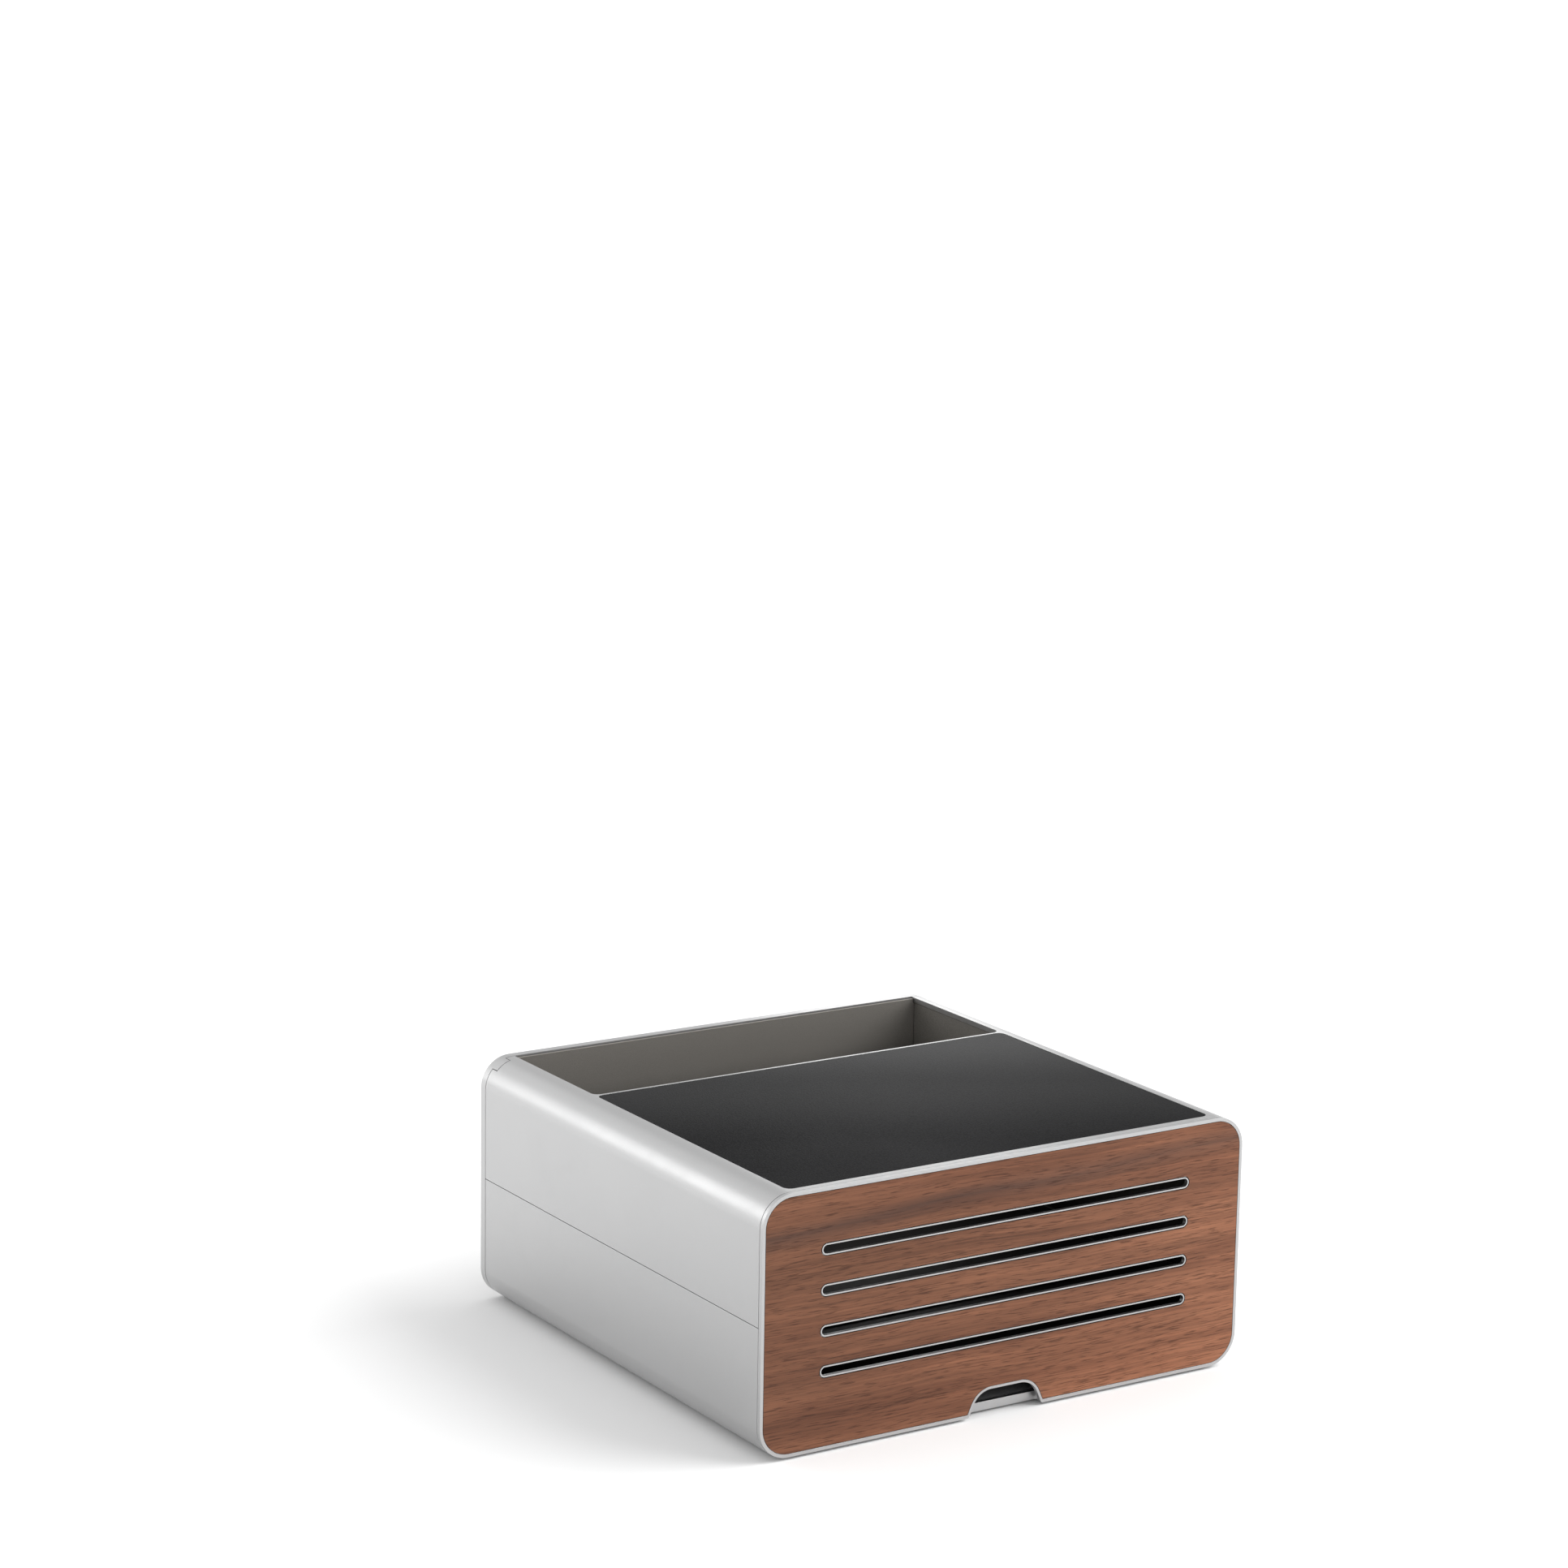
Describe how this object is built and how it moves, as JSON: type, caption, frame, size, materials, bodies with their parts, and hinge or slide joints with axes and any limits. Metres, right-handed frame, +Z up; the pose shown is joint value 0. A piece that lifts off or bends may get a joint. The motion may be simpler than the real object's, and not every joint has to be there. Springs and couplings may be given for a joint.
{
  "type": "monitor riser stand",
  "caption": "Low aluminium riser for a display: slotted walnut front on magnets, soft mat on top, open well for the neck, and a steel shelf on pegs inside.",
  "frame": {"origin": "centre of the footprint on the table, under the feet", "axes": "+X to the right seen from the front, +Y to the back, +Z up; the walnut front faces -Y"},
  "size_m": [0.25, 0.2434, 0.116],
  "materials": {
    "shell_aluminium": "bead-blasted and clear anodised, satin silver",
    "splice_aluminium": "plain mill finish",
    "walnut": "oiled walnut veneer, horizontal grain",
    "mat": "fine-grained soft black leatherette",
    "dark_steel": "warm dark grey fine-textured powder coat",
    "rubber": "matt black",
    "felt": "short-pile black felt",
    "zinc_steel": "zinc plated",
    "nickel": "nickel plated"
  },
  "bodies": {
    "root": {"back_liner": "dark_steel", "back_plate": "shell_aluminium", "back_screw_lower_left": "zinc_steel", "back_screw_lower_right": "zinc_steel", "back_screw_upper_left": "zinc_steel", "back_screw_upper_right": "zinc_steel", "base_screw_back_left": "zinc_steel", "base_screw_back_right": "zinc_steel", "base_screw_front_left": "zinc_steel", "base_screw_front_right": "zinc_steel", "cable_grommet": "rubber", "floor_pad": "felt", "foot_back_left": "rubber", "foot_back_right": "rubber", "foot_front_left": "rubber", "foot_front_right": "rubber", "lower_shell": "shell_aluminium", "magnet_lower_left": "nickel", "magnet_lower_right": "nickel", "magnet_upper_left": "nickel", "magnet_upper_right": "nickel", "rail_left": "dark_steel", "rail_right": "dark_steel", "splice_left": "splice_aluminium", "splice_right": "splice_aluminium", "top_brace": "dark_steel", "top_mat": "mat", "upper_shell": "shell_aluminium"},
    "front_panel": {"front_plate": "shell_aluminium", "walnut_inlay": "walnut", "strike_disc_lower_left": "zinc_steel", "strike_disc_lower_right": "zinc_steel", "strike_disc_upper_left": "zinc_steel", "strike_disc_upper_right": "zinc_steel"},
    "shelf": {"shelf": "dark_steel", "shelf_grip_front": "rubber", "shelf_grip_back": "rubber"},
    "peg_front_left": {"shelf_peg_front_left": "zinc_steel"},
    "peg_front_right": {"shelf_peg_front_right": "zinc_steel"},
    "peg_back_left": {"shelf_peg_back_left": "zinc_steel"},
    "peg_back_right": {"shelf_peg_back_right": "zinc_steel"}
  },
  "joints": [
    {"name": "front_panel_pull", "type": "slide", "parent": "root", "child": "front_panel", "axis": [0, -1, 0], "range_m": [0, 0.06]},
    {"name": "shelf_height", "type": "slide", "parent": "root", "child": "shelf", "axis": [0, 0, 1], "range_m": [0, 0.054]},
    {"name": "peg_front_left_pull", "type": "slide", "parent": "root", "child": "peg_front_left", "axis": [1, 0, 0], "range_m": [0, 0.008]},
    {"name": "peg_front_right_pull", "type": "slide", "parent": "root", "child": "peg_front_right", "axis": [-1, 0, 0], "range_m": [0, 0.008]},
    {"name": "peg_back_left_pull", "type": "slide", "parent": "root", "child": "peg_back_left", "axis": [1, 0, 0], "range_m": [0, 0.008]},
    {"name": "peg_back_right_pull", "type": "slide", "parent": "root", "child": "peg_back_right", "axis": [-1, 0, 0], "range_m": [0, 0.008]}
  ]
}
